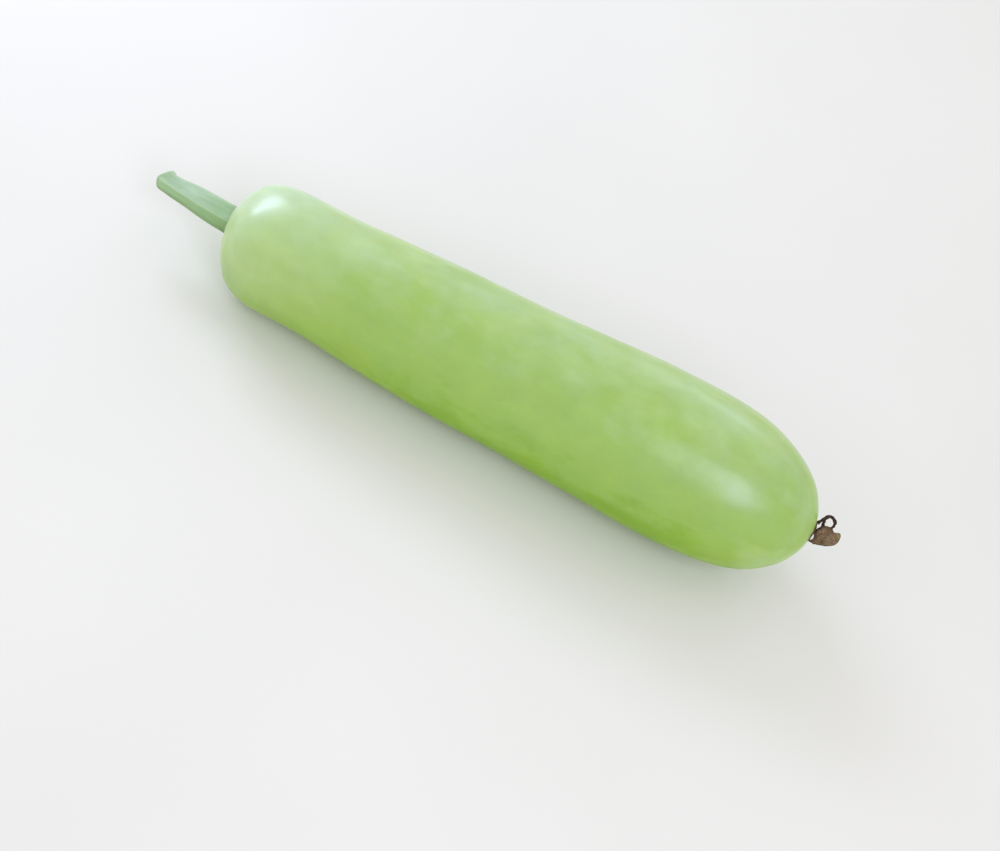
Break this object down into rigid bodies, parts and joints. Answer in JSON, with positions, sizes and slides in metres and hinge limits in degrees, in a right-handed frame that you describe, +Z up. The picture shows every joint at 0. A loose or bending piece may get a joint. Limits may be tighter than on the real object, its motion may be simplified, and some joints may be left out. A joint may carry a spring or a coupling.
{
  "type": "bottle gourd",
  "caption": "Long club-shaped bottle gourd lying on its side, with a ridged cut stalk in the neck end and the dried flower still on the blunt end.",
  "frame": {"origin": "on the surface the gourd rests on, under the middle of its bounding box", "axes": "+X along the fruit from the stalk to the flower end, +Z up, +Y level across it"},
  "size_m": [0.3888, 0.0834, 0.084],
  "materials": {
    "gourd_skin": "satin",
    "stem_skin": "matte",
    "scar_cork": "matte",
    "dry_petal": "matte",
    "dark_petal": "matte"
  },
  "bodies": {
    "root": {"gourd_fruit": "gourd_skin", "stem": "stem_skin", "blossom_scar": "scar_cork", "petal_broad": "dry_petal", "petal_curled": "dark_petal", "petal_folded": "dark_petal"}
  },
  "joints": []
}
